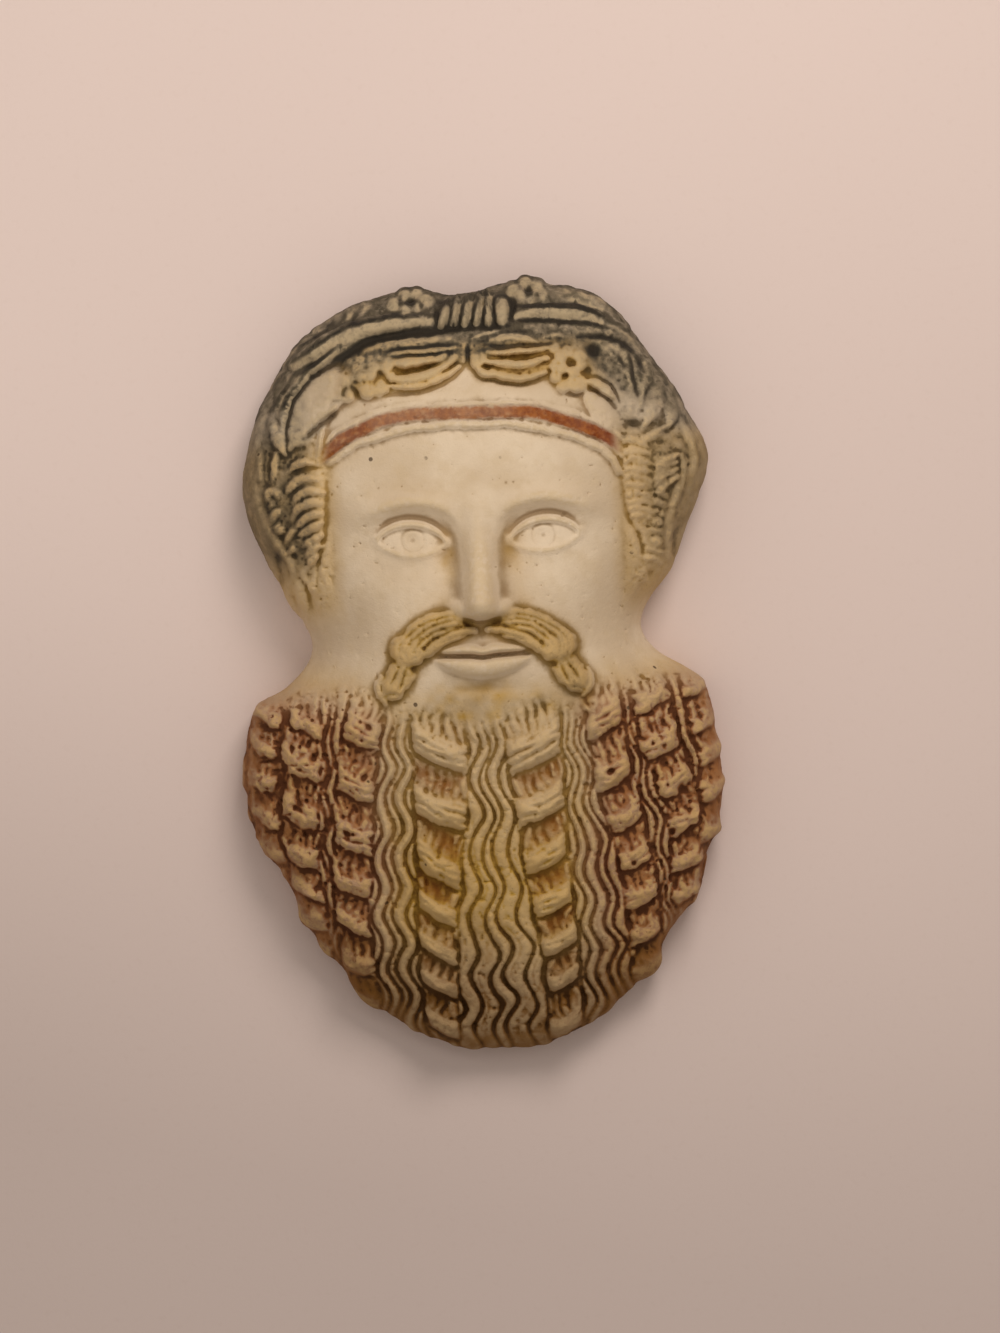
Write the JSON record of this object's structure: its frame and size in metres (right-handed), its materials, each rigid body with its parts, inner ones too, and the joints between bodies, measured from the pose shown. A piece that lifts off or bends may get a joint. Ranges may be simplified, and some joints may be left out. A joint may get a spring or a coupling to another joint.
{
  "type": "bearded wall mask",
  "caption": "Hollow-backed plaster mask of a bearded, wreathed mythological head, with a headband, corkscrew beard locks and wavy strands.",
  "frame": {"origin": "centre of the flat back plane that the mask lies on, midway between the beard's end and the wreath's top", "axes": "+Z out of the back plane towards the nose, +Y up the face towards the wreath, +X to the right of the face as it is looked at"},
  "size_m": [0.1333, 0.2091, 0.0581],
  "materials": {
    "painted_plaster": "matt cream plaster with worn washes of ochre, red-brown and grey-black"
  },
  "bodies": {
    "root": {"mask": "painted_plaster"}
  },
  "joints": []
}
